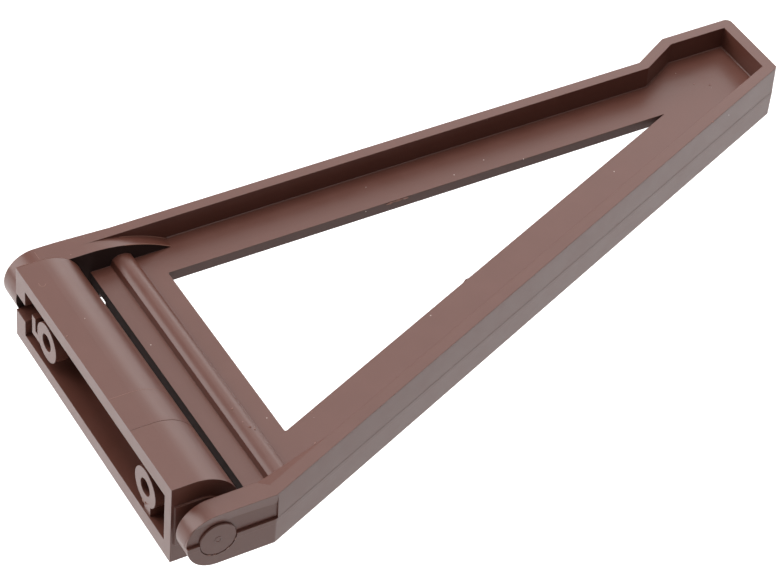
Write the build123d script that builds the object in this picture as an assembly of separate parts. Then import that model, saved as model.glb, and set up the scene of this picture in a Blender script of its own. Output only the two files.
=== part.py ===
"""Folding shelf bracket: a wall mount, a swinging triangular arm and its lower hinge pin.

Frame: X leaves the wall, Y is the thickness, Z is up along the hinge. The
origin is on the wall face, midway between the two screw holes. Millimetres.
"""
import math
import os

from build123d import *

# wall mount: a D-section block that tapers from its lower end to its upper end
SCREW_SPACING = 51.0
SCREW_HOLE_R = 2.25
BOSS_R = 5.0
BOSS_RECESS = 0.35
MOUNT_TOP = 41.35
MOUNT_LENGTH = 80.0
MOUNT_BOTTOM = MOUNT_TOP - MOUNT_LENGTH
MOUNT_FRONT = 16.4
HALF_TOP = 10.4
HALF_BOTTOM = 11.3
CAVITY_HALF = 6.9
CAVITY_FRONT = 12.5
TOP_WALL = 4.9
BOTTOM_WALL = 3.1
HEAD_R = 4.4
HEAD_SEAT = 11.6
END_PAD_HALF = 5.9
END_PAD_FRONT = 13.2
END_PAD_RAISE = 0.5
HUB_R = 4.0

# hinge
HINGE_X = 7.6
PIVOT_R = 2.0
RUNNING = 0.05
FACE_GAP = 0.3
SWING_GAP = 0.2
SLOT_MOUTH = 2.6
SLOT_THROAT_X = 4.5
HEAD_DISC_R = 4.55
HEAD_DISC_T = 2.2

# arm
ARM_T = 15.0
WEB_T = 2.8
EAR_R = ARM_T / 2
LEG_TOP = MOUNT_TOP + 6.45
LEG_WALL = 2.98
EAR_RISE = 0.65
EAR_FLAT_X = 13.0
EAR_BLEND_X = 27.0
TIP_X = 207.3
TIP_LOW = 31.35
TIP_WALL = 3.33
PAD_LENGTH = 20.7
JOG_RUN = 10.65
PAD_RISE = 5.8
JOG_X1 = TIP_X - PAD_LENGTH
JOG_X0 = JOG_X1 - JOG_RUN
PAD_TOP = LEG_TOP + PAD_RISE
DRAFT = 1.0
PARTING_GROW = ARM_T / 2 * math.tan(math.radians(DRAFT))
BEND_X = 21.75
LEG_BOTTOM = MOUNT_BOTTOM - 7.8
BRACE_WALL = 3.1
CORNER_END = 40.0
CORNER_DROP = 0.6
TOP_EAR_FACE = MOUNT_TOP + FACE_GAP
HUB_LENGTH = 2.1
BOTTOM_EAR_FACE = MOUNT_BOTTOM - HUB_LENGTH - FACE_GAP
STRIP_X = HINGE_X + HALF_BOTTOM + SWING_GAP
OPEN_X0 = 35.45
OPEN_X1 = TIP_X - 32.1
OPEN_TOP = MOUNT_TOP - 7.72
OPEN_LOW = MOUNT_BOTTOM + 13.8
RIB_X = 27.2
RIB_FOOT = 3.2
RIB_SHOULDER = 2.45
RIB_SHOULDER_T = 3.1
RIB_HALF_T = 4.1
FALL_X = 18.5
FALL_R = 42.0
EAR_STEP = 1.55
EAR_STEP_END = 1.1
BRACE_STEP = 0.3


def on_side(points, radii=None):
    """A face in the XZ plane, with the numbered corners rounded."""
    face = make_face(Polyline(*points, close=True))
    if radii:
        for index, radius in radii.items():
            spot = Vector(points[index][0], points[index][1], 0)
            corner = face.vertices().sort_by_distance(spot)[0]
            face = fillet(corner, radius)
    return Plane.XZ * face


def d_section(half, front, height, back=0.0):
    """A flat-backed section with a round front, level with the given height."""
    centre = front - half
    outline = [
        Line((back, -half), (centre, -half)),
        ThreePointArc((centre, -half), (front, 0), (centre, half)),
        Line((centre, half), (back, half)),
        Line((back, half), (back, -half)),
    ]
    return Plane.XY.offset(height) * make_face(outline)


def rod(radius, low, high, x=HINGE_X):
    """An upright cylinder between two heights."""
    return Pos(x, 0, (low + high) / 2) * Cylinder(radius, high - low)


def tube_along_x(radius, x0, x1, z):
    """A cylinder lying along X."""
    return Pos((x0 + x1) / 2, 0, z) * Rot(0, 90, 0) * Cylinder(radius, x1 - x0)


def block(x0, x1, y0, y1, z0, z1):
    """A box given by its limits."""
    centre = Pos((x0 + x1) / 2, (y0 + y1) / 2, (z0 + z1) / 2)
    return centre * Box(x1 - x0, y1 - y0, z1 - z0)


def screw_boss(z):
    """The tube a wall screw passes through, reaching the round front."""
    return tube_along_x(BOSS_R, BOSS_RECESS, CAVITY_FRONT + 0.6, z)


def screw_path(z):
    """The screw hole with the seat for a countersunk head at the front."""
    hole = tube_along_x(SCREW_HOLE_R, -1, MOUNT_FRONT + 1, z)
    well = tube_along_x(HEAD_R, HEAD_SEAT + 2.2, MOUNT_FRONT + 1, z)
    seat = Pos(HEAD_SEAT + 1.1, 0, z) * Rot(0, 90, 0) * Cone(SCREW_HOLE_R, HEAD_R, 2.2)
    return hole + well + seat


def tapered_block():
    """The mount's outer form: flat tapered sides that meet a cone in front.

    The cone's foremost line stands upright, so only the sides draw in.
    """
    slope = (HALF_BOTTOM - HALF_TOP) / MOUNT_LENGTH
    apex_z = MOUNT_TOP + HALF_TOP / slope
    near = apex_z - MOUNT_TOP - 2
    far = apex_z - MOUNT_BOTTOM + 2
    front = Pos(0, 0, -(near + far) / 2) * Cone(far * slope, near * slope, far - near)
    front &= block(0, 2 * MOUNT_FRONT, -2 * HALF_BOTTOM, 2 * HALF_BOTTOM, -far, -near)
    side = [(-far * slope, -far), (far * slope, -far), (near * slope, -near), (-near * slope, -near)]
    back = extrude(Plane.YZ * make_face(Polyline(*side, close=True)), 2 * MOUNT_FRONT, dir=(-1, 0, 0))
    tilt = math.degrees(math.atan(slope))
    form = Pos(MOUNT_FRONT, 0, apex_z) * Rot(0, tilt, 0) * (front + back)
    return form & block(0, MOUNT_FRONT + 1, -2 * HALF_BOTTOM, 2 * HALF_BOTTOM, MOUNT_BOTTOM, MOUNT_TOP)


def wall_mount():
    """Hollow tapered block, open at the wall, with bosses, slot and pivot hole."""
    body = tapered_block()

    inside_low = MOUNT_BOTTOM + BOTTOM_WALL
    inside_high = MOUNT_TOP - TOP_WALL
    hollow = d_section(CAVITY_HALF, CAVITY_FRONT, inside_low, back=-1.0)
    body -= extrude(hollow, inside_high - inside_low, dir=(0, 0, 1))

    screws = (SCREW_SPACING / 2, -SCREW_SPACING / 2)
    for z in screws:
        body += screw_boss(z)

    # the stop behind the slot, tied to the upper boss along one side only
    upper_boss = screws[0]
    body += block(BOSS_RECESS, CAVITY_FRONT - 1, -2.2, 3.4, upper_boss + 6.1, upper_boss + 7.9)
    body += block(BOSS_RECESS, CAVITY_FRONT - 1, 1.6, 3.4, upper_boss + 3.6, upper_boss + 6.5)

    # short web from the lower boss to the nearer long wall
    lower_boss = screws[1]
    body += block(BOSS_RECESS, CAVITY_FRONT - 3, 4.0, CAVITY_HALF + 0.2, lower_boss - 2.6, lower_boss + 0.2)

    for z in screws:
        body -= screw_path(z)

    # open slot that the arm's own pivot slides into from the wall side
    slot_r = PIVOT_R + RUNNING
    mouth = [
        (-1, -SLOT_MOUTH),
        (0, -SLOT_MOUTH),
        (SLOT_THROAT_X, -slot_r),
        (HINGE_X, -slot_r),
        (HINGE_X, slot_r),
        (SLOT_THROAT_X, slot_r),
        (0, SLOT_MOUTH),
        (-1, SLOT_MOUTH),
    ]
    slot = Plane.XY.offset(inside_high - 1) * make_face(Polyline(*mouth, close=True))
    body -= extrude(slot, TOP_WALL + 2, dir=(0, 0, 1))
    body -= rod(slot_r, inside_high - 1, MOUNT_TOP + 1)

    # raised pad and bearing hub on the lower end
    pad = d_section(END_PAD_HALF, END_PAD_FRONT, MOUNT_BOTTOM - END_PAD_RAISE, back=0.8)
    body += extrude(pad, END_PAD_RAISE + 0.2, dir=(0, 0, 1))
    body += rod(HUB_R, MOUNT_BOTTOM - HUB_LENGTH, MOUNT_BOTTOM + 0.2)
    body -= rod(slot_r, MOUNT_BOTTOM - HUB_LENGTH - 1, inside_low + 1)
    return body


def brace_z(x, inset=0.0):
    """Height of the sloping brace's outer face, moved in by inset."""
    slope = (TIP_LOW - LEG_BOTTOM) / (TIP_X - BEND_X)
    return LEG_BOTTOM + slope * (x - BEND_X) + inset * math.hypot(1, slope)


def arm_outline(grow=0.0):
    """The arm's outline seen from the side, widened by grow all round."""
    end = TIP_X + grow
    slope = (TIP_LOW - LEG_BOTTOM) / (TIP_X - BEND_X)
    bend = BEND_X + grow * (math.hypot(1, slope) - 1) / slope
    points = [
        (0, LEG_TOP + EAR_RISE + grow),
        (EAR_FLAT_X, LEG_TOP + EAR_RISE + grow),
        (EAR_BLEND_X, LEG_TOP + grow),
        (JOG_X0, LEG_TOP + grow),
        (JOG_X1, PAD_TOP + grow),
        (end, PAD_TOP + grow),
        (end, brace_z(end, -grow)),
        (bend, LEG_BOTTOM - grow),
        (0, LEG_BOTTOM - grow),
    ]
    return on_side(points, {3: 1.2, 4: 1.5, 5: 1.8, 6: 1.2, 7: 1.2})


def inner_outline():
    """The recess inside the arm's outer wall, open towards the hinge."""
    end = TIP_X - TIP_WALL
    low = LEG_TOP - LEG_WALL
    points = [
        (-5, low),
        (JOG_X0 + 1.0, low),
        (JOG_X1 + 1.0, PAD_TOP - LEG_WALL),
        (end, PAD_TOP - LEG_WALL),
        (end, brace_z(end, BRACE_WALL)),
        (BEND_X, brace_z(BEND_X, BRACE_WALL)),
        (STRIP_X, BOTTOM_EAR_FACE),
        (-5, BOTTOM_EAR_FACE),
    ]
    return on_side(points, {1: 1.0, 2: 1.0})


def top_ear():
    """The upper ear, whose thick part falls in an arc to the web."""
    half = ARM_T / 2
    web = WEB_T / 2
    drop = half - web
    run = math.sqrt(FALL_R**2 - (FALL_R - drop) ** 2)
    part_way = FALL_X + run * 0.6
    part_y = half - (FALL_R - math.sqrt(FALL_R**2 - (run * 0.6) ** 2))
    end = FALL_X + run
    outline = [
        Line((HINGE_X, half), (FALL_X, half)),
        ThreePointArc((FALL_X, half), (part_way, part_y), (end, web)),
        Line((end, web), (end, -web)),
        ThreePointArc((end, -web), (part_way, -part_y), (FALL_X, -half)),
        Line((FALL_X, -half), (HINGE_X, -half)),
        ThreePointArc((HINGE_X, -half), (HINGE_X - EAR_R, 0), (HINGE_X, half)),
    ]
    section = Plane.XY.offset(TOP_EAR_FACE) * make_face(outline)
    return extrude(section, LEG_TOP - LEG_WALL - TOP_EAR_FACE + 0.5, dir=(0, 0, 1))


def corner_web():
    """The filling between the lower ear and the brace, sloping down to its edge."""
    bury = 0.4
    ear_corner = (STRIP_X, BOTTOM_EAR_FACE)
    bend_corner = (BEND_X, brace_z(BEND_X, BRACE_WALL - bury))
    brace_corner = (CORNER_END, brace_z(CORNER_END, BRACE_WALL - bury))
    inner_end = (CORNER_END, brace_z(CORNER_END, BRACE_WALL))
    points = [ear_corner, bend_corner, brace_corner, inner_end]
    solid = extrude(on_side(points), ARM_T / 2, both=True)
    half = ARM_T / 2
    start = Vector(BEND_X, half, brace_z(BEND_X, BRACE_WALL))
    along = Vector(inner_end[0], half, inner_end[1]) - start
    down = Vector(ear_corner[0], half - CORNER_DROP, ear_corner[1]) - start
    normal = along.cross(down).normalized()
    if normal.Y < 0:
        normal = normal * -1
    upper = Plane(origin=start, x_dir=along, z_dir=normal)
    solid = split(solid, bisect_by=upper, keep=Keep.BOTTOM)
    lower = Plane(
        origin=Vector(start.X, -start.Y, start.Z),
        x_dir=Vector(along.X, -along.Y, along.Z),
        z_dir=Vector(normal.X, -normal.Y, normal.Z),
    )
    return split(solid, bisect_by=lower, keep=Keep.BOTTOM)


def rib_section(height):
    """The rib's cross-section: sloping sides and a rounded top on both faces."""
    left = RIB_X - RIB_FOOT
    right = RIB_X + RIB_FOOT
    near = RIB_X - RIB_SHOULDER
    far = RIB_X + RIB_SHOULDER
    high = RIB_SHOULDER_T
    outline = [
        Line((left, 0), (near, high)),
        ThreePointArc((near, high), (RIB_X, RIB_HALF_T), (far, high)),
        Line((far, high), (right, 0)),
        Line((right, 0), (far, -high)),
        ThreePointArc((far, -high), (RIB_X, -RIB_HALF_T), (near, -high)),
        Line((near, -high), (left, 0)),
    ]
    return Plane.XY.offset(height) * make_face(outline)


def half_step(at_parting, at_rim):
    """A cutter over one half of the thickness, between two outlines."""
    faces = []
    for y, points in ((0.0, at_parting), (-ARM_T / 2 - 0.1, at_rim)):
        flat = make_face(Polyline(*points, close=True))
        faces.append(Plane(origin=(0, y, 0), x_dir=(1, 0, 0), z_dir=(0, -1, 0)) * flat)
    return loft(faces, ruled=True)


def ear_step():
    """The sloping step in the lower ear's outer face, deepest at the parting line."""
    end = BEND_X + 0.4
    low = LEG_BOTTOM - 1.0
    at_parting = [(-2, low), (-2, LEG_BOTTOM + EAR_STEP), (end, LEG_BOTTOM + EAR_STEP_END), (end, low)]
    at_rim = [(-2, low), (-2, LEG_BOTTOM), (end, LEG_BOTTOM), (end, low)]
    return half_step(at_parting, at_rim)


def brace_step():
    """The shallow step that goes on along the brace's outer face."""
    ends = (BEND_X + 0.4, TIP_X + 2.0)
    outside = [(x, brace_z(x, -1.0)) for x in ends]
    at_parting = outside + [(x, brace_z(x, BRACE_STEP)) for x in reversed(ends)]
    at_rim = outside + [(x, brace_z(x)) for x in reversed(ends)]
    return half_step(at_parting, at_rim)


def swing_arm():
    """Triangular arm with both ears, the upper pivot and the seat of the lower pin."""
    outline = arm_outline(PARTING_GROW)
    walls = extrude(outline, ARM_T / 2, both=True, taper=DRAFT)
    walls -= extrude(inner_outline(), ARM_T / 2 + 1, both=True, taper=-DRAFT)

    web = extrude(outline, WEB_T / 2, both=True)
    web -= block(-10, STRIP_X, -ARM_T, ARM_T, BOTTOM_EAR_FACE, TOP_EAR_FACE)
    opening = [(OPEN_X0, OPEN_TOP), (OPEN_X1, OPEN_TOP), (OPEN_X0, OPEN_LOW)]
    web -= extrude(on_side(opening, {0: 0.4, 2: 0.4}), ARM_T, both=True)

    arm = walls + web + top_ear() + corner_web()

    # rounded rib that stiffens the leg beside the hinge, on both faces
    rib = rib_section(BOTTOM_EAR_FACE - 0.5)
    arm += extrude(rib, TOP_EAR_FACE - BOTTOM_EAR_FACE + 1.0, dir=(0, 0, 1))

    # both ears end in a half round about the hinge
    kept = block(HINGE_X, TIP_X + 5, -ARM_T, ARM_T, LEG_BOTTOM - 5, PAD_TOP + 5)
    kept += rod(EAR_R, LEG_BOTTOM - 5, PAD_TOP + 5)
    arm = arm & kept

    arm -= ear_step()
    arm -= brace_step()

    # the upper pivot is part of the arm; the lower one is a separate pin
    tip = MOUNT_TOP - TOP_WALL - 1.8
    pivot = rod(PIVOT_R, tip, TOP_EAR_FACE + 0.5)
    pivot = chamfer(pivot.edges().sort_by(Axis.Z)[0], 0.4)
    arm += pivot
    arm -= rod(PIVOT_R, LEG_BOTTOM - 1, BOTTOM_EAR_FACE + 1)
    arm -= rod(HEAD_DISC_R, LEG_BOTTOM - 1, LEG_BOTTOM + HEAD_DISC_T)
    return arm


def hinge_pin():
    """The lower hinge pin, pushed in from outside until its head is flush."""
    head = rod(HEAD_DISC_R - 0.02, LEG_BOTTOM, LEG_BOTTOM + HEAD_DISC_T)
    head = chamfer(head.edges().sort_by(Axis.Z)[0], 0.2)
    tip = MOUNT_BOTTOM + BOTTOM_WALL + 1.2
    shank = rod(PIVOT_R, LEG_BOTTOM + HEAD_DISC_T - 0.1, tip)
    shank = chamfer(shank.edges().sort_by(Axis.Z)[-1], 0.4)
    return head + shank


def main():
    """Write one STEP file for each piece."""
    os.makedirs("parts", exist_ok=True)
    export_step(wall_mount(), "parts/wall_mount.step")
    export_step(swing_arm(), "parts/swing_arm.step")
    export_step(hinge_pin(), "parts/hinge_pin.step")


if __name__ == "__main__":
    main()
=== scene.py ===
"""Looks of a folding shelf bracket moulded in brown plastic.

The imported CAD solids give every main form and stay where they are. This script
gives them a moulded-plastic material and adds what a mould leaves on the surface:
witness lines, lands beside the parting line, gate marks, flash and a few specks.
Sizes are in metres in the part's own frame, and in millimetres for the small
lumps: X leaves the wall, Z is up along the hinge, Y is the thickness of the arm.
"""
import logging
import math
from dataclasses import dataclass
from enum import Enum

import bmesh
import bpy
import numpy as np
from mathutils import Matrix, Vector


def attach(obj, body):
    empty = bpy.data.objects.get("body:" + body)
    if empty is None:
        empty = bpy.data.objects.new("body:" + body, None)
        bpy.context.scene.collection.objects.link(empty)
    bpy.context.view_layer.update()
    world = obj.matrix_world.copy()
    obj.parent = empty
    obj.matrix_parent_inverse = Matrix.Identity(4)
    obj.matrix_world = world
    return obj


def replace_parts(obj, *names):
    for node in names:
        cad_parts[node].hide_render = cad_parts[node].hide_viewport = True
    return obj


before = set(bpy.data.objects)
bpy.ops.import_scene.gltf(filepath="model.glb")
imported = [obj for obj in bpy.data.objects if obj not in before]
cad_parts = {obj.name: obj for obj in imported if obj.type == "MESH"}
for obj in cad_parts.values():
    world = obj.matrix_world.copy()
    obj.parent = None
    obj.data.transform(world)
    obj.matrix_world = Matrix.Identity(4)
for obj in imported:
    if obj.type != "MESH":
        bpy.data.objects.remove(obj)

LOG = logging.getLogger("bracket")
MM = 0.001
SHARP_DEGREES = 38
NEAR_SIDE = (0.0, -1.0, 0.0)


class Body(Enum):
    """The two rigid bodies of the bracket."""

    MOUNT = "mount"
    ARM = "arm"


class Node(Enum):
    """The CAD nodes, one for each physical piece."""

    MOUNT = "wall_mount"
    ARM = "swing_arm"
    PIN = "hinge_pin"


# ---------------------------------------------------------------- shader groups


class Group:
    """A thin wrapper that keeps node-group building short and readable."""

    def __init__(self, name: str) -> None:
        """Starts an empty shader group.

        Args:
            name: the group's name in the file.
        """
        self.tree = bpy.data.node_groups.new(name, "ShaderNodeTree")
        self.inlet = self.tree.nodes.new("NodeGroupInput")
        self.outlet = self.tree.nodes.new("NodeGroupOutput")

    def takes(self, name: str, default: float) -> bpy.types.NodeSocket:
        """Adds a number to the group's inputs.

        Args:
            name: the input's name.
            default: its value where nothing else is set.

        Returns:
            The socket inside the group that carries it.
        """
        socket = self.tree.interface.new_socket(
            name, in_out="INPUT", socket_type="NodeSocketFloat"
        )
        socket.default_value = default
        return self.inlet.outputs[name]

    def gives(self, name: str, kind: str, source: bpy.types.NodeSocket) -> None:
        """Adds an output.

        Args:
            name: the output's name.
            kind: its socket type.
            source: the socket that feeds it.
        """
        self.tree.interface.new_socket(name, in_out="OUTPUT", socket_type=kind)
        self.join(source, self.outlet.inputs[name])

    def node(self, kind: str, **settings: object) -> bpy.types.Node:
        """Adds a node.

        Args:
            kind: its type.
            settings: its properties by name.

        Returns:
            The node.
        """
        made = self.tree.nodes.new(kind)
        for key, value in settings.items():
            setattr(made, key, value)
        return made

    def join(self, source: bpy.types.NodeSocket, target: bpy.types.NodeSocket) -> None:
        """Links one socket to another."""
        self.tree.links.new(source, target)

    def math(self, operation: str, *terms: object) -> bpy.types.NodeSocket:
        """Adds one math node.

        Args:
            operation: Blender's name of the operation.
            terms: its inputs in order, each a socket or a number.

        Returns:
            The node's value socket.
        """
        made = self.node("ShaderNodeMath", operation=operation)
        for slot, term in zip(made.inputs, terms):
            if isinstance(term, (int, float)):
                slot.default_value = term
            else:
                self.join(term, slot)
        return made.outputs[0]

    def noise(self, at: bpy.types.NodeSocket, scale: float, detail: float) -> bpy.types.NodeSocket:
        """Adds a noise texture.

        Args:
            at: the coordinates it is read at.
            scale: waves for each unit of the coordinates.
            detail: how many finer layers lie on top.

        Returns:
            The noise as a number from 0 to 1.
        """
        made = self.node("ShaderNodeTexNoise")
        made.inputs["Scale"].default_value = scale
        made.inputs["Detail"].default_value = detail
        self.join(at, made.inputs["Vector"])
        return made.outputs["Fac"]

    def ramp(self, source: bpy.types.NodeSocket, low: float, high: float) -> bpy.types.NodeSocket:
        """Adds a straight ramp that is 0 at low, 1 at high, and level outside.

        Args:
            source: the number that is mapped.
            low: where the ramp starts.
            high: where it ends.

        Returns:
            The mapped number.
        """
        made = self.node("ShaderNodeMapRange", clamp=True)
        made.inputs["From Min"].default_value = low
        made.inputs["From Max"].default_value = high
        self.join(source, made.inputs["Value"])
        return made.outputs["Result"]


def place_group() -> bpy.types.NodeTree:
    """Object coordinates in millimetres, so that texture scales read as sizes.

    Returns:
        The group's tree, with Place.
    """
    group = Group("PlaceMm")
    coords = group.node("ShaderNodeTexCoord")
    scaled = group.node("ShaderNodeVectorMath", operation="SCALE")
    group.join(coords.outputs["Object"], scaled.inputs[0])
    scaled.inputs["Scale"].default_value = 1 / MM
    group.gives("Place", "NodeSocketVector", scaled.outputs[0])
    return group.tree


def grain_group(place: bpy.types.NodeTree) -> bpy.types.NodeTree:
    """The skin of moulded plastic: faint waves, fine grain and hairline scratches.

    Height = Waves * low noise + Grain * fine noise - Scratches * marks. A mark is
    1 where a stretched noise crosses its middle, and only in some patches.

    Args:
        place: the group that gives the coordinates.

    Returns:
        The group's tree, with Height and Drift.
    """
    group = Group("MouldedSkin")
    waves = group.takes("Waves", 0.5)
    grain = group.takes("Grain", 0.3)
    scratches = group.takes("Scratches", 0.5)
    at = group.node("ShaderNodeGroup", node_tree=place).outputs["Place"]
    low = group.noise(at, scale=0.16, detail=2.0)
    fine = group.noise(at, scale=2.6, detail=3.0)
    patch = group.ramp(group.noise(at, scale=0.09, detail=1.0), 0.52, 0.68)

    stretch = group.node("ShaderNodeMapping")
    stretch.inputs["Rotation"].default_value = (0.3, 0.5, 0.2)
    stretch.inputs["Scale"].default_value = (1.2, 1.2, 0.06)
    group.join(at, stretch.inputs["Vector"])
    streak = group.noise(stretch.outputs[0], scale=1.1, detail=1.0)
    band = group.node("ShaderNodeValToRGB")
    first, middle = band.color_ramp.elements
    first.position, first.color = 0.497, (0, 0, 0, 1)
    middle.position, middle.color = 0.500, (1, 1, 1, 1)
    band.color_ramp.elements.new(0.503).color = (0, 0, 0, 1)
    group.join(streak, band.inputs["Fac"])

    marks = group.math("MULTIPLY", band.outputs["Color"], patch)
    wavy = group.math("MULTIPLY", low, waves)
    height = group.math("ADD", wavy, group.math("MULTIPLY", fine, grain))
    height = group.math("SUBTRACT", height, group.math("MULTIPLY", marks, scratches))
    group.gives("Height", "NodeSocketFloat", height)
    group.gives("Drift", "NodeSocketFloat", low)
    return group.tree


def edge_group() -> bpy.types.NodeTree:
    """Softened corners: a rounded normal, and a mask that is one along edges.

    Returns:
        The group's tree, with Normal and Edge.
    """
    group = Group("SoftEdges")
    radius = group.takes("Radius", 0.3 * MM)
    bevel = group.node("ShaderNodeBevel", samples=6)
    group.join(radius, bevel.inputs["Radius"])
    shape = group.node("ShaderNodeNewGeometry")
    dot = group.node("ShaderNodeVectorMath", operation="DOT_PRODUCT")
    group.join(bevel.outputs[0], dot.inputs[0])
    group.join(shape.outputs["Normal"], dot.inputs[1])
    edge = group.ramp(dot.outputs["Value"], 0.995, 0.86)
    group.gives("Normal", "NodeSocketVector", bevel.outputs[0])
    group.gives("Edge", "NodeSocketFloat", edge)
    return group.tree


def speck_group(place: bpy.types.NodeTree) -> bpy.types.NodeTree:
    """Sparse pale specks: small balls in space, one in most cells of a lattice.

    Mask = 1 where the distance to the cell's point is under Size times the
    cell's second random number, and only where its first one is under Share.

    Args:
        place: the group that gives the coordinates.

    Returns:
        The group's tree, with Mask.
    """
    group = Group("Specks")
    cells = group.takes("Cells", 0.22)
    size = group.takes("Size", 0.045)
    share = group.takes("Share", 0.6)
    at = group.node("ShaderNodeGroup", node_tree=place)
    lattice = group.node("ShaderNodeTexVoronoi", feature="F1")
    group.join(at.outputs["Place"], lattice.inputs["Vector"])
    group.join(cells, lattice.inputs["Scale"])
    split = group.node("ShaderNodeSeparateColor")
    group.join(lattice.outputs["Color"], split.inputs["Color"])
    reach = group.math("MULTIPLY", size, split.outputs["Green"])
    near = group.math("LESS_THAN", lattice.outputs["Distance"], reach)
    kept = group.math("LESS_THAN", split.outputs["Red"], share)
    group.gives("Mask", "NodeSocketFloat", group.math("MULTIPLY", near, kept))
    return group.tree


def painted_shade_group(place: bpy.types.NodeTree) -> bpy.types.NodeTree:
    """Painted shade on three planes of the arm that lie in shadow: near-black colour, and full
    roughness.

    Mask = 1 within Reach of the strip's edge plane (X) or of the upper ear's inner
    face (Z), and OpeningShare within Reach of the opening's long edge (Z), where
    the face looks along that axis. All places are in millimetres.

    Args:
        place: the group that gives the coordinates.

    Returns:
        The group's tree, with Mask.
    """
    along_axis = 0.9
    group = Group("PaintedShadeFaces")
    reach = group.takes("Reach", 0.06)
    planes = (
        ("X", group.takes("StripX", 19.1), 1.0),
        ("Z", group.takes("EarZ", 41.65), 1.0),
        ("Z", group.takes("OpeningZ", 33.63), group.takes("OpeningShare", 0.6)),
    )
    at = group.node("ShaderNodeGroup", node_tree=place)
    split = group.node("ShaderNodeSeparateXYZ")
    group.join(at.outputs["Place"], split.inputs[0])
    shape = group.node("ShaderNodeNewGeometry")
    turned = group.node(
        "ShaderNodeVectorTransform",
        vector_type="NORMAL",
        convert_from="WORLD",
        convert_to="OBJECT",
    )
    group.join(shape.outputs["True Normal"], turned.inputs[0])
    looks = group.node("ShaderNodeSeparateXYZ")
    group.join(turned.outputs[0], looks.inputs[0])
    mask = 0.0
    for axis, value, share in planes:
        off = group.math("ABSOLUTE", group.math("SUBTRACT", split.outputs[axis], value))
        close = group.math("LESS_THAN", off, reach)
        turn = group.math("ABSOLUTE", looks.outputs[axis])
        facing = group.math("GREATER_THAN", turn, along_axis)
        found = group.math("MULTIPLY", group.math("MULTIPLY", close, facing), share)
        mask = group.math("MAXIMUM", found, mask)
    group.gives("Mask", "NodeSocketFloat", mask)
    return group.tree


# ------------------------------------------------------------------- finishes


@dataclass(frozen=True)
class Plastic:
    """One moulded finish of the brown plastic.

    Attributes:
        name: the material's name.
        tint: base colour, linear.
        drift: second colour that the base wanders towards.
        edge: lighter colour mixed in along all edges.
        roughness: mean roughness.
        relief: strength of the surface relief, 0 to 1.
        softness: radius of the softened corners.
        speck: colour of dust specks.
        painted_shade: near-black painted shade on three faces of the arm that lie in shadow.
        edge_share: how far the edges go towards the edge colour.
        spread: how far the roughness wanders to either side.
        depth: height of the relief.
        ior: index of refraction.
    """

    name: str
    tint: tuple
    drift: tuple
    edge: tuple
    roughness: float
    relief: float
    softness: float
    speck: tuple = (0.55, 0.45, 0.40)
    # Near-black painted shade for the faces in shadow beside the barrel, under the upper ear and
    # along the opening's long edge.
    painted_shade: tuple = (0.030, 0.011, 0.008)
    edge_share: float = 0.35
    spread: float = 0.06
    depth: float = 0.05 * MM
    ior: float = 1.5

    def material(self, groups: dict) -> bpy.types.Material:
        """Builds the material from the shared groups.

        Args:
            groups: the shared node trees by name.

        Returns:
            A material with one Principled surface.
        """
        made = bpy.data.materials.new(self.name)
        made.use_nodes = True
        tree = made.node_tree
        tree.nodes.clear()
        link = tree.links.new
        skin, soft, dust, painted_shade_faces = (
            self.shared(tree, groups[name]) for name in ("skin", "edges", "specks", "painted_shade_faces")
        )
        soft.inputs["Radius"].default_value = self.softness

        colour = self.mixed(tree, skin.outputs["Drift"], self.tint, self.drift)
        ease = tree.nodes.new("ShaderNodeMath")
        ease.operation = "MULTIPLY"
        ease.inputs[1].default_value = self.edge_share
        link(soft.outputs["Edge"], ease.inputs[0])
        colour = self.mixed(tree, ease.outputs[0], colour, self.edge)
        # Painted shade: the three shadowed faces are mixed towards near-black.
        colour = self.mixed(tree, painted_shade_faces.outputs["Mask"], colour, self.painted_shade)
        colour = self.mixed(tree, dust.outputs["Mask"], colour, self.speck)

        rough = tree.nodes.new("ShaderNodeMapRange")
        rough.inputs["To Min"].default_value = self.roughness - self.spread
        rough.inputs["To Max"].default_value = self.roughness + self.spread
        link(skin.outputs["Drift"], rough.inputs["Value"])
        coarse = tree.nodes.new("ShaderNodeMath")
        coarse.operation = "MAXIMUM"
        link(painted_shade_faces.outputs["Mask"], coarse.inputs[0])
        link(rough.outputs["Result"], coarse.inputs[1])

        bump = tree.nodes.new("ShaderNodeBump")
        bump.inputs["Strength"].default_value = self.relief
        bump.inputs["Distance"].default_value = self.depth
        link(skin.outputs["Height"], bump.inputs["Height"])
        link(soft.outputs["Normal"], bump.inputs["Normal"])

        surface = tree.nodes.new("ShaderNodeBsdfPrincipled")
        surface.inputs["IOR"].default_value = self.ior
        link(colour, surface.inputs["Base Color"])
        link(coarse.outputs["Value"], surface.inputs["Roughness"])
        link(bump.outputs["Normal"], surface.inputs["Normal"])
        out = tree.nodes.new("ShaderNodeOutputMaterial")
        link(surface.outputs["BSDF"], out.inputs["Surface"])
        return made

    @staticmethod
    def shared(tree: bpy.types.NodeTree, group: bpy.types.NodeTree) -> bpy.types.Node:
        """Adds a shared group to a material's tree.

        Args:
            tree: the material's tree.
            group: the shared group.

        Returns:
            The group's node.
        """
        made = tree.nodes.new("ShaderNodeGroup")
        made.node_tree = group
        return made

    @staticmethod
    def mixed(
        tree: bpy.types.NodeTree,
        factor: bpy.types.NodeSocket,
        first: object,
        second: tuple,
    ) -> bpy.types.NodeSocket:
        """Mixes two colours in a material's tree.

        Args:
            tree: the material's tree.
            factor: how much of the second colour is taken.
            first: the first colour, a tuple or a socket.
            second: the second colour.

        Returns:
            The mixed colour's socket.
        """
        made = tree.nodes.new("ShaderNodeMix")
        made.data_type = "RGBA"
        tree.links.new(factor, made.inputs["Factor"])
        if isinstance(first, tuple):
            made.inputs["A"].default_value = (*first, 1.0)
        else:
            tree.links.new(first, made.inputs["A"])
        made.inputs["B"].default_value = (*second, 1.0)
        return made.outputs["Result"]


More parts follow.
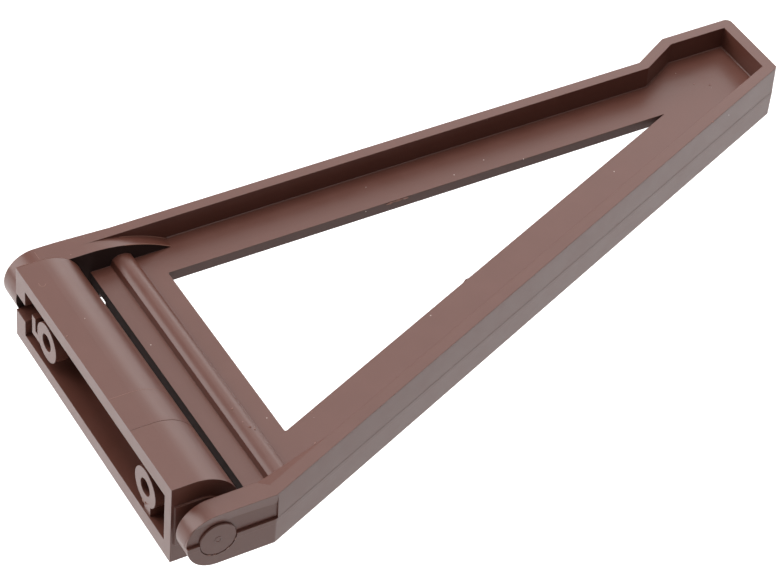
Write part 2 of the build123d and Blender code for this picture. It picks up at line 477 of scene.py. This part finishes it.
BROWN = Plastic(
    name="brown_plastic",
    tint=(0.108, 0.038, 0.026),
    drift=(0.124, 0.044, 0.031),
    edge=(0.22, 0.11, 0.085),
    roughness=0.34,
    relief=0.22,
    softness=0.18 * MM,
)
FLASH = Plastic(
    name="flash_plastic",
    tint=(0.26, 0.12, 0.09),
    drift=(0.22, 0.10, 0.07),
    edge=(0.35, 0.20, 0.16),
    roughness=0.42,
    relief=0.1,
    softness=0.05 * MM,
)


# --------------------------------------------------------------------- meshes


def mesh_object(
    name: str,
    rings: list,
    material: bpy.types.Material,
    body: Body,
) -> bpy.types.Object:
    """Makes one closed, smooth piece out of closed sweeps and puts it on a body.

    Each sweep is an N by K by 3 array: N cross-sections of K points, running so
    that the sides face outwards. Quads join neighbouring sections, and a single
    many-sided face closes each end.

    Args:
        name: the piece's name.
        rings: the sweeps.
        material: the material it takes.
        body: the body it moves with.

    Returns:
        The new object.
    """
    points, faces, base = [], [], 0
    for ring in rings:
        count, sides = ring.shape[:2]
        index = base + np.arange(count * sides).reshape(count, sides)
        after = np.roll(index, -1, axis=1)
        quads = np.stack([index[:-1], after[:-1], after[1:], index[1:]], axis=-1)
        faces += quads.reshape(-1, 4).tolist()
        faces += [index[0, ::-1].tolist(), index[-1].tolist()]
        points.append(ring.reshape(-1, 3))
        base += count * sides
    mesh = bpy.data.meshes.new(name)
    mesh.from_pydata(np.concatenate(points).tolist(), [], faces)
    mesh.polygons.foreach_set("use_smooth", np.ones(len(faces), bool))
    mesh.validate()
    tidy = bmesh.new()
    tidy.from_mesh(mesh)
    bmesh.ops.recalc_face_normals(tidy, faces=tidy.faces)
    tidy.to_mesh(mesh)
    tidy.free()
    mesh.set_sharp_from_angle(angle=math.radians(SHARP_DEGREES))
    mesh.materials.append(material)
    return place_piece(name, mesh, body)


def place_piece(name: str, mesh: bpy.types.Mesh, body: Body) -> bpy.types.Object:
    """Links a finished mesh as a piece that rides on a body.

    Args:
        name: the piece's name.
        mesh: its mesh, already in the part's frame.
        body: the body it moves with.

    Returns:
        The new object.
    """
    made = bpy.data.objects.new(name, mesh)
    bpy.context.scene.collection.objects.link(made)
    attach(made, body.value)
    LOG.info("piece %s: %d faces on %s", name, len(mesh.polygons), body.value)
    return made


def unit(vectors: np.ndarray) -> np.ndarray:
    """Vectors scaled to length one along the last axis."""
    return vectors / np.linalg.norm(vectors, axis=-1, keepdims=True)


def bead(
    path: np.ndarray,
    out: np.ndarray,
    width: float,
    height: float,
    sides: int = 12,
) -> np.ndarray:
    """A low bead along a path, its lower half buried in the face under it.

    Each cross-section is an ellipse: across = width/2 * cos(t) and
    outward = height * sin(t), with t going once round.

    Args:
        path: N by 3 points on the face.
        out: N by 3 unit normals of the face.
        width: full width of the bead.
        height: how far it stands out.
        sides: points in each cross-section.

    Returns:
        The sweep, N by sides by 3.
    """
    run = unit(np.gradient(path, axis=0))
    across = unit(np.cross(run, out))
    t = np.linspace(0, 2 * math.pi, sides, endpoint=False)
    u = (width / 2 * np.cos(t))[None, :, None]
    v = (height * np.sin(t))[None, :, None]
    return path[:, None, :] + u * across[:, None, :] + v * out[:, None, :]


def cove(
    path: np.ndarray,
    wall: np.ndarray,
    web: tuple,
    radius: float,
    sides: int = 7,
    bury: float = 0.4,
) -> np.ndarray:
    """The hollow round that a mould leaves where a wall stands on the web.

    The section's visible side is a quarter circle of the given radius that
    touches both faces: point = corner + r (wall + web) - r (cos t wall + sin t web).
    One more point under the corner closes the section.

    Args:
        path: N by 3 points along the corner.
        wall: N by 3 normals of the wall, already mitred where the path turns.
        web: the web's unit normal.
        radius: the quarter circle's radius.
        sides: points on the quarter circle.
        bury: how far under the corner the last point lies, in radii.

    Returns:
        The sweep, N by sides + 1 by 3.
    """
    t = np.linspace(0, math.pi / 2, sides)
    p = np.append(1 - np.cos(t), -bury)[None, :, None]
    q = np.append(1 - np.sin(t), -bury)[None, :, None]
    return path[:, None, :] + radius * (p * wall[:, None, :] + q * np.asarray(web, float))


def chip(
    centre: tuple,
    out: tuple,
    along: tuple,
    size: tuple,
    seed: int,
    around: int = 14,
    rows: int = 9,
) -> np.ndarray:
    """A small irregular lump: an ellipsoid whose radius wanders with angle.

    Radius factor = 1 + 0.22 sin(3a + seed) + 0.12 sin(5b + 2 seed), for the two
    angles a (round) and b (from one end to the other). All lengths are in
    millimetres.

    Args:
        centre: where it sits, on the face.
        out: the face's normal.
        along: its long direction.
        size: length, width and height.
        seed: picks one of many shapes.
        around: points in each cross-section.
        rows: number of cross-sections.

    Returns:
        The sweep, rows by around by 3, in metres.
    """
    tip = 0.08
    centre, out, along = (np.asarray(v, float) for v in (centre, out, along))
    out = unit(out)
    along = unit(along - out * np.dot(along, out))
    side = np.cross(out, along)
    a = np.linspace(0, 2 * math.pi, around, endpoint=False)
    b = np.linspace(tip, math.pi - tip, rows)
    bb, aa = np.meshgrid(b, a, indexing="ij")
    r = 1 + 0.22 * np.sin(3 * aa + seed) * np.sin(bb) + 0.12 * np.sin(5 * bb + 2 * seed)
    x = r * np.cos(bb) * size[0] / 2
    y = r * np.sin(bb) * np.cos(aa) * size[1] / 2
    z = r * np.sin(bb) * np.sin(aa) * size[2]
    return MM * (centre + x[..., None] * along + y[..., None] * side + z[..., None] * out)


def mitres(flat: np.ndarray, side: float) -> np.ndarray:
    """Inward normals of a flat path, lengthened where it turns.

    At a corner between unit normals m and n the mitre is (m + n) / (1 + m.n), so
    an offset along it keeps the same distance from both runs.

    Args:
        flat: N by 2 points.
        side: 1 or -1, which side of the path is inward.

    Returns:
        N by 2 vectors.
    """
    run = unit(np.diff(flat, axis=0))
    normal = side * np.stack([-run[:, 1], run[:, 0]], axis=1)
    first = np.concatenate([normal[:1], normal])
    second = np.concatenate([normal, normal[-1:]])
    return (first + second) / (1 + np.sum(first * second, axis=1, keepdims=True))


def rounded(points: list, radii: dict, steps: int = 6) -> np.ndarray:
    """A flat path through points, with some corners rounded by arcs.

    The arc of radius r starts r tan(turn / 2) before the corner and ends as far
    after it.

    Args:
        points: corner points.
        radii: radius by corner number.
        steps: points on each arc.

    Returns:
        N by 2 points.
    """
    corners = np.asarray(points, float)
    out = []
    for number, corner in enumerate(corners):
        if number not in radii:
            out.append(corner[None])
            continue
        back = unit(corners[number - 1] - corner)
        ahead = unit(corners[number + 1] - corner)
        half = math.acos(float(np.clip(np.dot(back, ahead), -1, 1))) / 2
        reach = radii[number] / math.tan(half)
        centre = corner + unit(back + ahead) * radii[number] / math.sin(half)
        ends = np.stack([corner + back * reach, corner + ahead * reach]) - centre
        share = np.linspace(0, 1, steps)[:, None]
        spread = math.pi - 2 * half
        arc = np.sin((1 - share) * spread) * ends[0] + np.sin(share * spread) * ends[1]
        out.append(centre + arc / math.sin(spread))
    return np.concatenate(out)


# ----------------------------------------------------------------- assemblies


@dataclass
class WallMount:
    """The hollow block on the wall and the marks its mould left on it.

    Attributes:
        skin: finish of the block.
        flash: finish of thin flash and crumbs.
        front: the round front's reach from the wall.
        half_low: half of the block's thickness at its lower end.
        half_high: half of its thickness at its upper end.
        low: height of the lower end.
        high: height of the upper end.
        swell: how much fuller than a half round the front is.
        flat_points: points along each straight side of the section.
        insert_z: height of the insert's line round the block.
        short_z: height of the shorter line.
        curl_at: X and Z of the curl mark on the near side.
        curl_size: half of the curl's width and its height.
    """

    skin: bpy.types.Material
    flash: bpy.types.Material
    front: float = 16.4 * MM
    half_low: float = 11.3 * MM
    half_high: float = 10.4 * MM
    low: float = -38.65 * MM
    high: float = 41.35 * MM
    swell: float = 0.62 * MM
    flat_points: int = 8
    insert_z: float = -18.2 * MM
    short_z: float = -7.4 * MM
    curl_at: tuple = (3.1 * MM, 33.7 * MM)
    curl_size: tuple = (0.75 * MM, 0.95 * MM)

    def half(self, z: float) -> float:
        """Half of the block's thickness at height z, from its straight taper."""
        share = (z - self.low) / (self.high - self.low)
        return self.half_low + (self.half_high - self.half_low) * share

    def section(self, z: float, steps: int = 40) -> tuple:
        """Points and normals along the side and the round front at height z.

        The side runs straight to x = front - h. The front's radius about that
        point is h + swell cos(a) squared, for the angle a from X.

        Args:
            z: the height.
            steps: points on the round front.

        Returns:
            N by 3 points and N by 3 unit normals.
        """
        h, count = self.half(z), self.flat_points
        centre = self.front - h
        flat = np.linspace(0.2 * MM, centre, count, endpoint=False)
        angle = np.linspace(-math.pi / 2, math.pi / 2, steps)
        radius = h + self.swell * np.cos(angle) ** 2
        turn = angle + np.arctan2(self.swell * np.sin(2 * angle), radius)
        x = np.concatenate([flat, centre + radius * np.cos(angle), flat[::-1]])
        y = np.concatenate([np.full(count, -h), radius * np.sin(angle), np.full(count, h)])
        nx = np.concatenate([np.zeros(count), np.cos(turn), np.zeros(count)])
        ny = np.concatenate([np.full(count, -1.0), np.sin(turn), np.full(count, 1.0)])
        path = np.stack([x, y, np.full_like(x, z)], axis=1)
        return path, np.stack([nx, ny, np.zeros_like(nx)], axis=1)

    def fuller_front(self) -> None:
        """Stands in for the CAD block with a slightly fuller round front.

        Each point of the outer skin moves out from the round's centre line by
        swell cos(a) squared; its normal turns by the matching angle. All other
        points stay where the solid has them.
        """
        skin_depth, outward = 0.04 * MM, 0.9
        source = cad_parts[Node.MOUNT.value].data
        mesh = source.copy()
        count, corners = len(mesh.vertices), len(mesh.loops)
        co = np.empty(count * 3)
        mesh.vertices.foreach_get("co", co)
        co = co.reshape(-1, 3)
        normals = np.empty(corners * 3)
        source.corner_normals.foreach_get("vector", normals)
        normals = normals.reshape(-1, 3)
        of_corner = np.empty(corners, np.int32)
        mesh.loops.foreach_get("vertex_index", of_corner)

        h = self.half(co[:, 2])
        across, up = co[:, 0] - (self.front - h), co[:, 1]
        radius = np.hypot(across, up)
        angle = np.arctan2(up, across)
        skin = (np.abs(radius - h) < skin_depth) & (across > -0.01 * MM)
        swell = np.where(skin, self.swell * np.cos(angle) ** 2, 0.0)
        co[:, 0] += swell * np.cos(angle)
        co[:, 1] += swell * np.sin(angle)

        turn = np.where(skin, np.arctan2(self.swell * np.sin(2 * angle), radius), 0.0)
        turn, around = turn[of_corner], angle[of_corner]
        x, y = normals[:, 0].copy(), normals[:, 1].copy()
        radial = x * np.cos(around) + y * np.sin(around)
        turn = np.where(radial > outward, turn, 0.0)
        normals[:, 0] = x * np.cos(turn) - y * np.sin(turn)
        normals[:, 1] = x * np.sin(turn) + y * np.cos(turn)

        mesh.vertices.foreach_set("co", co.ravel())
        mesh.update()
        mesh.normals_split_custom_set(normals.tolist())
        mesh.materials.clear()
        mesh.materials.append(self.skin)
        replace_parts(place_piece("mount_block", mesh, Body.MOUNT), Node.MOUNT.value)

    def witness_lines(self) -> None:
        """The insert's line round the barrel, and a shorter one on its near half."""
        path, out = self.section(self.insert_z)
        line = bead(path, out, 0.22 * MM, 0.045 * MM)
        mesh_object("mount_insert_line", [line], self.skin, Body.MOUNT)
        path, out = self.section(self.short_z)
        keep = len(path) * 3 // 7
        line = bead(path[:keep], out[:keep], 0.12 * MM, 0.03 * MM)
        mesh_object("mount_short_line", [line], self.flash, Body.MOUNT)

    def end_flash(self) -> None:
        """The thin fin left round the upper end, where the mould closed.

        Its size wanders as 0.75 + 0.25 sin(t), with t from 0 to 37 along the way.
        """
        path, out = self.section(self.high)
        wander = 0.75 + 0.25 * np.sin(np.linspace(0, 37, len(path)))
        ring = bead(path, unit(out + np.array([0.0, 0.0, 0.6])), 0.13 * MM, 0.09 * MM)
        middle = path[:, None, :]
        ring = middle + (ring - middle) * wander[:, None, None]
        mesh_object("mount_end_flash", [ring], self.flash, Body.MOUNT)

    def flakes(self) -> None:
        """Ragged flash on the lower tube's end and a crumb on the near side."""
        wall, near = (-1, 0, 0), NEAR_SIDE
        side = -self.half(15 * MM) / MM
        lumps = [
            chip((0.40, 5.1, -24.6), wall, (0, 0.7, -1), (1.1, 0.4, 0.16), 1),
            chip((0.40, 4.7, -25.9), wall, (0, 1, -0.6), (0.8, 0.5, 0.2), 4),
            chip((0.40, 4.1, -26.9), wall, (0, 1, 0.2), (0.6, 0.35, 0.14), 7),
            chip((0.7, side, 15.2), near, (1, 0, 1), (0.45, 0.35, 0.12), 2),
        ]
        mesh_object("mount_flakes", lumps, self.flash, Body.MOUNT)

    def curl_mark(self) -> None:
        """A faint curl on the near side, a little more than a half ellipse."""
        angle = np.linspace(0.3, math.pi + 0.5, 14)
        (x0, z0), (wide, tall) = self.curl_at, self.curl_size
        x, z = x0 + wide * np.cos(angle), z0 - tall * np.sin(angle)
        path = np.stack([x, np.full_like(x, -self.half(z0)), z], axis=1)
        out = np.tile(NEAR_SIDE, (len(x), 1))
        line = bead(path, out, 0.10 * MM, 0.022 * MM, 8)
        mesh_object("mount_curl_mark", [line], self.flash, Body.MOUNT)

    def dress(self) -> None:
        """Puts the finish on the CAD node and adds the marks."""
        dress_node(Node.MOUNT, self.skin)
        self.fuller_front()
        self.witness_lines()
        self.end_flash()
        self.flakes()
        self.curl_mark()


@dataclass
class SwingArm:
    """The triangular arm and what its mould left on it.

    Attributes:
        skin: finish of the arm.
        flash: finish of thin flash and crumbs.
        tip: reach from the wall.
        tip_low: height of the tip's lower corner.
        tip_wall: thickness of the wall at the tip.
        bend_x: where the lower ear bends into the brace.
        bend_z: height of that bend, and of the lower ear's outer face.
        wall_low: height of the upper wall's inner face.
        pad_low: the same under the raised pad.
        jog: where the inner face starts and ends its step to the pad.
        brace_wall: thickness of the brace's wall.
        axis_x: the hinge's distance from the wall.
        strip_x: where the strip beside the barrel starts.
        land_depth: how far the lower ear's near half lies under its far half.
        web_half: half of the web's thickness.
        half: half of the arm's thickness.
        fall_x: where the upper ear starts to fall to the web.
        fall_r: radius of that fall.
        fall_end: where it reaches the web.
        ear_face: height of the upper ear's inner face.
        corner_end: where the filling of the lower corner ends.
        opening_z: height of the opening's long edge.
        opening_low: X and Z of its lower corner.
        opening_tip: X of its outer corner.
        lip: width and height of the shade piece under the strip.
        lip_runs: Z where each length of the shade piece starts and ends.
    """

    skin: bpy.types.Material
    flash: bpy.types.Material
    tip: float = 207.3 * MM
    tip_low: float = 31.35 * MM
    tip_wall: float = 3.33 * MM
    bend_x: float = 21.75 * MM
    bend_z: float = -46.45 * MM
    wall_low: float = 44.82 * MM
    pad_low: float = 50.62 * MM
    jog: tuple = (176.95 * MM, 187.6 * MM)
    brace_wall: float = 3.1 * MM
    axis_x: float = 7.6 * MM
    strip_x: float = 19.1 * MM
    land_depth: float = 0.5 * MM
    web_half: float = 1.4 * MM
    half: float = 7.5 * MM
    fall_x: float = 18.5 * MM
    fall_r: float = 42.0 * MM
    fall_end: float = 40.6 * MM
    ear_face: float = 41.65 * MM
    corner_end: float = 40.2 * MM
    opening_z: float = 33.63 * MM
    opening_low: tuple = (35.45 * MM, -24.85 * MM)
    opening_tip: float = 175.2 * MM
    # Painted shade: a piece under the strip that darkens the gap beside the barrel.
    lip: tuple = (0.9 * MM, 1.2 * MM)
    lip_runs: tuple = ((-40.9 * MM, 33.5 * MM), (36.7 * MM, 41.8 * MM))

    @property
    def slope(self) -> float:
        """Rise of the brace for each metre along X."""
        return (self.tip_low - self.bend_z) / (self.tip - self.bend_x)

    def brace_z(self, x: float, inset: float = 0.0) -> float:
        """Height of the brace's outer face.

        Args:
            x: distance from the wall.
            inset: how far under the face the height is taken.

        Returns:
            The height.
        """
        rise = self.slope * (x - self.bend_x)
        return self.bend_z + rise + inset * math.hypot(1, self.slope)

    def junctions(self) -> None:
        """The small hollow rounds where the outer walls stand on the web."""
        end = self.tip - self.tip_wall
        corners = [
            (self.fall_end, self.wall_low),
            (self.jog[0], self.wall_low),
            (self.jog[1], self.pad_low),
            (end, self.pad_low),
            (end, self.brace_z(end, self.brace_wall)),
            (self.corner_end, self.brace_z(self.corner_end, self.brace_wall)),
        ]
        flat = rounded(corners, {1: 1.0 * MM, 2: 1.0 * MM})
        inward = mitres(flat, -1.0)
        wall = np.insert(inward, 1, 0.0, axis=1)
        coves = []
        for face in (-1.0, 1.0):
            path = np.insert(flat, 1, face * self.web_half, axis=1)
            coves.append(cove(path, wall, (0.0, face, 0.0), 0.26 * MM))
        mesh_object("arm_wall_rounds", coves, self.skin, Body.ARM)

    def brace_land(self) -> None:
        """The near half of the brace's outer face, almost level with the far half.

        A slab follows the brace and its rounded end. Its section runs from the
        rim to the parting line, where it stands almost level with the far half.
        """
        start = self.bend_x + 0.45 * MM
        corners = [
            (start, self.brace_z(start)),
            (self.tip, self.tip_low),
            (self.tip, self.tip_low + 1.6 * MM),
        ]
        flat = rounded(corners, {1: 1.2 * MM}, 9)
        inward = mitres(flat, 1.0)
        under = [(0.01, -7.2), (-0.115, -0.01), (0.5, -0.01), (0.5, -7.2)]
        section = np.array(under) * MM
        ring = np.empty((len(flat), len(section), 3))
        place = flat[:, None, :] + inward[:, None, :] * section[None, :, :1]
        ring[:, :, 0], ring[:, :, 2] = place[..., 0], place[..., 1]
        ring[:, :, 1] = section[:, 1]
        mesh_object("arm_brace_land", [ring], self.skin, Body.ARM)

    def ear_land(self) -> None:
        """The level land on the near half of the lower ear's outer face.

        At each y it runs from the ear's round end, x = axis - sqrt(r^2 - y^2),
        to the bend; its back is buried in the ear.
        """
        y = np.linspace(-5.35 * MM, -0.03 * MM, 28)
        r = self.half - 0.03 * MM
        left = self.axis_x - np.sqrt(np.maximum(r**2 - y**2, 0.0))
        right = np.full_like(y, self.bend_x + 0.35 * MM)
        face = np.full_like(y, self.bend_z + self.land_depth)
        back = np.full_like(y, self.bend_z + 1.9 * MM)
        corners = ((left, face), (right, face), (right, back), (left, back))
        ring = np.stack([np.stack([x, y, z], axis=1) for x, z in corners], axis=1)
        mesh_object("arm_ear_land", [ring], self.skin, Body.ARM)

    def gap_shade_lip(self) -> None:
        """A shade piece under the strip's edge beside the barrel, in two lengths. It stands where
        the part has only shadow, hiding the pale floor in the gap, and its break lets one pale
        sliver through.
        """
        bevel = 0.3 * MM
        x0, x1 = self.strip_x, self.strip_x + self.lip[0]
        y0, y1 = self.web_half - 0.1 * MM, self.web_half + self.lip[1]
        section = np.array([[x0, y0], [x1, y0], [x1, y1 - bevel], [x1 - bevel, y1], [x0, y1]])
        runs = []
        for ends in self.lip_runs:
            ring = np.empty((len(ends), len(section), 3))
            ring[:, :, :2] = section
            ring[:, :, 2] = np.array(ends)[:, None]
            runs.append(ring)
        mesh_object("arm_gap_shade_lip", runs, self.skin, Body.ARM)

    def fall_highlight_lines(self) -> None:
        """Two pale beads along the arc where the upper ear falls to the web: painted highlights on
        its two edges.

        The arc is y = r - half - sqrt(r^2 - (x - fall_x)^2).
        """
        x = np.linspace(28.0 * MM, self.fall_end, 24)
        y = self.fall_r - self.half - np.sqrt(self.fall_r**2 - (x - self.fall_x) ** 2)
        out = np.tile(unit(np.array([0.0, -1.0, -1.0])), (len(x), 1))
        lines = []
        for z in (self.ear_face, self.wall_low):
            path = np.stack([x, y, np.full_like(x, z)], axis=1)
            # Painted highlight: pale beads stand along the two edges.
            lines.append(bead(path, out, 0.22 * MM, 0.10 * MM, 8))
        mesh_object("arm_fall_highlight_lines", lines, self.flash, Body.ARM)

    def gate_marks(self) -> None:
        """The torn gate on the long edge of the opening, and a blob opposite."""
        z = self.opening_z / MM
        torn = [
            chip((95.6, -1.0, z), (0, -0.5, -1), (1, 0, 0.25), (2.2, 0.5, 0.28), 3),
            chip((97.9, -1.1, z + 0.05), (0, -0.7, -1), (1, 0, 0.1), (2.9, 0.45, 0.24), 6),
            chip((99.8, -1.0, z), (0, -0.4, -1), (1, 0, -0.2), (1.5, 0.5, 0.22), 9),
        ]
        mesh_object("arm_gate_tear", torn, self.flash, Body.ARM)
        low_x, low_z = self.opening_low
        rise = (self.opening_z - low_z) / (self.opening_tip - low_x)
        x = 98.0
        z = low_z / MM + rise * (x - low_x / MM)
        blob = chip((x, 0, z), (-rise, 0, 1), (1, 0, rise), (4.2, 2.5, 0.42), 0)
        mesh_object("arm_edge_blob", [blob], self.skin, Body.ARM)

    def flakes(self) -> None:
        """Crumbs of flash on the web, the rib, the corner and the brace's rim.

        Each row gives the place and the length, width and height, in
        millimetres; its number in the list picks the shape.
        """
        web = -self.web_half / MM
        spots = [
            ((188.9, web, 40.6), (0.45, 0.30, 0.10)),
            ((192.4, web, 38.6), (0.50, 0.35, 0.12)),
            ((179.9, -7.5, 19.9), (0.60, 0.40, 0.14)),
            ((27.6, -4.1, -22.5), (0.75, 0.35, 0.16)),
            ((28.4, -4.0, -23.5), (0.40, 0.30, 0.14)),
            ((26.9, -4.1, -20.4), (0.35, 0.25, 0.10)),
            ((26.8, -4.1, -15.6), (0.45, 0.30, 0.12)),
            ((43.8, web, -22.0), (0.35, 0.30, 0.10)),
            ((36.6, -7.45, -36.1), (0.50, 0.30, 0.12)),
            ((14.7, -7.5, 43.0), (0.35, 0.25, 0.08)),
        ]
        lumps = [
            chip(at, NEAR_SIDE, (1, 0, 0.4 * seed - 2), size, seed)
            for seed, (at, size) in enumerate(spots, start=1)
        ]
        mesh_object("arm_flakes", lumps, self.flash, Body.ARM)

    def ear_line(self) -> None:
        """A faint line across the upper ear, left by the mould's insert."""
        z = np.linspace(44.6, 47.3, 8) * MM
        x, y = np.full_like(z, 7.45 * MM), np.full_like(z, -self.half)
        out = np.tile(NEAR_SIDE, (len(z), 1))
        line = bead(np.stack([x, y, z], axis=1), out, 0.10 * MM, 0.02 * MM, 8)
        mesh_object("arm_ear_line", [line], self.flash, Body.ARM)

    def dress(self) -> None:
        """Puts the finish on the CAD node and adds the marks."""
        dress_node(Node.ARM, self.skin)
        self.junctions()
        self.brace_land()
        self.ear_land()
        self.gap_shade_lip()
        self.fall_highlight_lines()
        self.gate_marks()
        self.flakes()
        self.ear_line()


@dataclass
class HingePin:
    """The pushed-in lower pin, flush in the arm's lower ear.

    Attributes:
        skin: finish of the pin.
        flash: finish of the crumbs.
        axis_x: the hinge's distance from the wall.
        face_z: height of the head's outer face.
        head_r: radius of the head.
        ring_r: radius of the low ring at its middle.
    """

    skin: bpy.types.Material
    flash: bpy.types.Material
    axis_x: float = 7.6 * MM
    face_z: float = -46.45 * MM
    head_r: float = 4.53 * MM
    ring_r: float = 0.75 * MM

    def centre_ring(self) -> None:
        """A low ring at the middle of the head, where it was pushed."""
        angle = np.linspace(0, 2 * math.pi, 33)
        x = self.axis_x + self.ring_r * np.cos(angle)
        y = self.ring_r * np.sin(angle)
        path = np.stack([x, y, np.full_like(x, self.face_z)], axis=1)
        out = np.tile([0.0, 0.0, -1.0], (len(x), 1))
        ring = bead(path, out, 0.30 * MM, 0.05 * MM)
        mesh_object("pin_centre_ring", [ring], self.skin, Body.ARM)

    def crumbs(self) -> None:
        """Crumbs of flash round the head's edge."""
        lumps = []
        for seed, degrees in enumerate((22, 58, 100, 118)):
            c, s = math.cos(math.radians(degrees)), math.sin(math.radians(degrees))
            x, y = self.axis_x + self.head_r * c, self.head_r * s
            at = (x / MM, y / MM, self.face_z / MM)
            lumps.append(chip(at, (0, 0, -1), (-s, c, 0), (0.8, 0.35, 0.15), seed))
        mesh_object("pin_crumbs", lumps, self.flash, Body.ARM)

    def dress(self) -> None:
        """Puts the finish on the CAD node and adds the marks."""
        dress_node(Node.PIN, self.skin)
        self.centre_ring()
        self.crumbs()


def dress_node(node: Node, material: bpy.types.Material) -> None:
    """Gives a CAD node its material.

    Args:
        node: the CAD node.
        material: what it takes.
    """
    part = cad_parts[node.value]
    part.data.materials.clear()
    part.data.materials.append(material)
    LOG.info("dressed %s", node.value)


# ---------------------------------------------------------------------- stage


@dataclass(frozen=True)
class Lamp:
    """One square soft light.

    Attributes:
        name: its name.
        toward: direction from the bracket to the light.
        watts: power.
        distance: how far away it is.
        size: length of its side.
    """

    name: str
    toward: tuple
    watts: float
    distance: float = 1.3
    size: float = 1.0

    def build(self, middle: tuple) -> None:
        """Adds the light.

        Args:
            middle: the point that it is turned to.
        """
        light = bpy.data.lights.new(self.name, "AREA")
        light.shape = "SQUARE"
        light.size = self.size
        light.energy = self.watts
        made = bpy.data.objects.new(self.name, light)
        bpy.context.scene.collection.objects.link(made)
        way = unit(np.asarray(self.toward, float))
        made.location = np.asarray(middle) + way * self.distance
        made.rotation_mode = "QUATERNION"
        made.rotation_quaternion = Vector(way).to_track_quat("Z", "Y")


@dataclass
class Studio:
    """Pale backdrop, soft light and the camera.

    Attributes:
        floor_y: where the backdrop stands behind the bracket.
        floor_half: half of its side.
        floor_tone: its grey, linear.
        floor_rough: its roughness.
        floor_glow: the light that it gives itself.
        fill: strength of the even light from all round.
        backdrop: brightness of the background to the camera.
        middle: the point that the lights are turned to.
        eye: the camera's place.
        right: the camera's X direction.
        up: its Y direction.
        ahead: the direction that it looks in.
        lens: its focal length in millimetres.
        sensor: its sensor's width in millimetres.
        lamps: the soft lights.
    """

    floor_y: float = 0.25
    floor_half: float = 2.0
    floor_tone: float = 0.90
    floor_rough: float = 0.9
    floor_glow: float = 0.37
    fill: float = 0.25
    backdrop: float = 1.1
    middle: tuple = (0.1, 0.0, 0.0)
    eye: tuple = (-0.22070, -0.50359, -0.45901)
    right: tuple = (0.86876, -0.06535, -0.49090)
    up: tuple = (0.28947, -0.73728, 0.61043)
    ahead: tuple = (0.40182, 0.67242, 0.62160)
    lens: float = 146.7
    sensor: float = 36.0
    lamps: tuple = (
        Lamp("overhead", (0.0, -1.0, 0.15), 14.6),
        Lamp("back_high", (0.45, -0.65, 0.62), 3.8),
        Lamp("back_low", (0.75, -0.25, 0.62), 5.1),
        Lamp("wall_side", (-0.65, -0.40, 0.65), 12.6),
    )

    def floor(self) -> None:
        """A pale plane behind the bracket, clear when seen from its back."""
        mesh = bpy.data.meshes.new("floor")
        s, y = self.floor_half, self.floor_y
        corners = [(-s, y, -s), (s, y, -s), (s, y, s), (-s, y, s)]
        mesh.from_pydata(corners, [], [(0, 1, 2, 3)])
        made = bpy.data.objects.new("floor", mesh)
        bpy.context.scene.collection.objects.link(made)
        pale = bpy.data.materials.new("pale_floor")
        pale.use_nodes = True
        tree = pale.node_tree
        link = tree.links.new
        surface = tree.nodes["Principled BSDF"]
        surface.inputs["Base Color"].default_value = (*[self.floor_tone] * 3, 1)
        surface.inputs["Roughness"].default_value = self.floor_rough
        surface.inputs["Emission Color"].default_value = (1, 1, 1, 1)
        surface.inputs["Emission Strength"].default_value = self.floor_glow
        clear = tree.nodes.new("ShaderNodeBsdfTransparent")
        mix = tree.nodes.new("ShaderNodeMixShader")
        side = tree.nodes.new("ShaderNodeNewGeometry")
        link(side.outputs["Backfacing"], mix.inputs["Fac"])
        link(surface.outputs["BSDF"], mix.inputs[1])
        link(clear.outputs["BSDF"], mix.inputs[2])
        link(mix.outputs["Shader"], tree.nodes["Material Output"].inputs["Surface"])
        mesh.materials.append(pale)

    def camera(self) -> None:
        """The camera, from its own directions and place."""
        data = bpy.data.cameras.new("camera")
        data.lens = self.lens
        data.sensor_width = self.sensor
        data.clip_start = 0.01
        data.clip_end = 20.0
        made = bpy.data.objects.new("camera", data)
        bpy.context.scene.collection.objects.link(made)
        back = [-part for part in self.ahead]
        columns = zip(self.right, self.up, back, self.eye)
        made.matrix_world = Matrix((*columns, (0, 0, 0, 1)))
        bpy.context.scene.camera = made

    def world(self) -> None:
        """Even, weak light from all round, and a white background."""
        world = bpy.data.worlds.new("world")
        world.use_nodes = True
        tree = world.node_tree
        link = tree.links.new
        fill = tree.nodes["Background"]
        seen = tree.nodes.new("ShaderNodeBackground")
        for node, strength in ((fill, self.fill), (seen, self.backdrop)):
            node.inputs["Strength"].default_value = strength
            node.inputs["Color"].default_value = (1, 1, 1, 1)
        ray = tree.nodes.new("ShaderNodeLightPath")
        mix = tree.nodes.new("ShaderNodeMixShader")
        link(ray.outputs["Is Camera Ray"], mix.inputs["Fac"])
        link(fill.outputs["Background"], mix.inputs[1])
        link(seen.outputs["Background"], mix.inputs[2])
        link(mix.outputs["Shader"], tree.nodes["World Output"].inputs["Surface"])
        bpy.context.scene.world = world

    def build(self) -> None:
        """Makes the whole stage."""
        self.floor()
        for lamp in self.lamps:
            lamp.build(self.middle)
        self.camera()
        self.world()
        bpy.context.scene.view_settings.view_transform = "Standard"


def main() -> None:
    """Dresses the bracket and sets the stage."""
    logging.basicConfig(level=logging.INFO, format="%(name)s %(message)s")
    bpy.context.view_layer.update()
    place = place_group()
    groups = {
        "skin": grain_group(place),
        "edges": edge_group(),
        "specks": speck_group(place),
        # The mask of the three faces that get painted shade.
        "painted_shade_faces": painted_shade_group(place),
    }
    skin = BROWN.material(groups)
    flash = FLASH.material(groups)
    WallMount(skin, flash).dress()
    SwingArm(skin, flash).dress()
    HingePin(skin, flash).dress()
    Studio().build()
    bpy.context.view_layer.update()


if __name__ == "__main__":
    main()
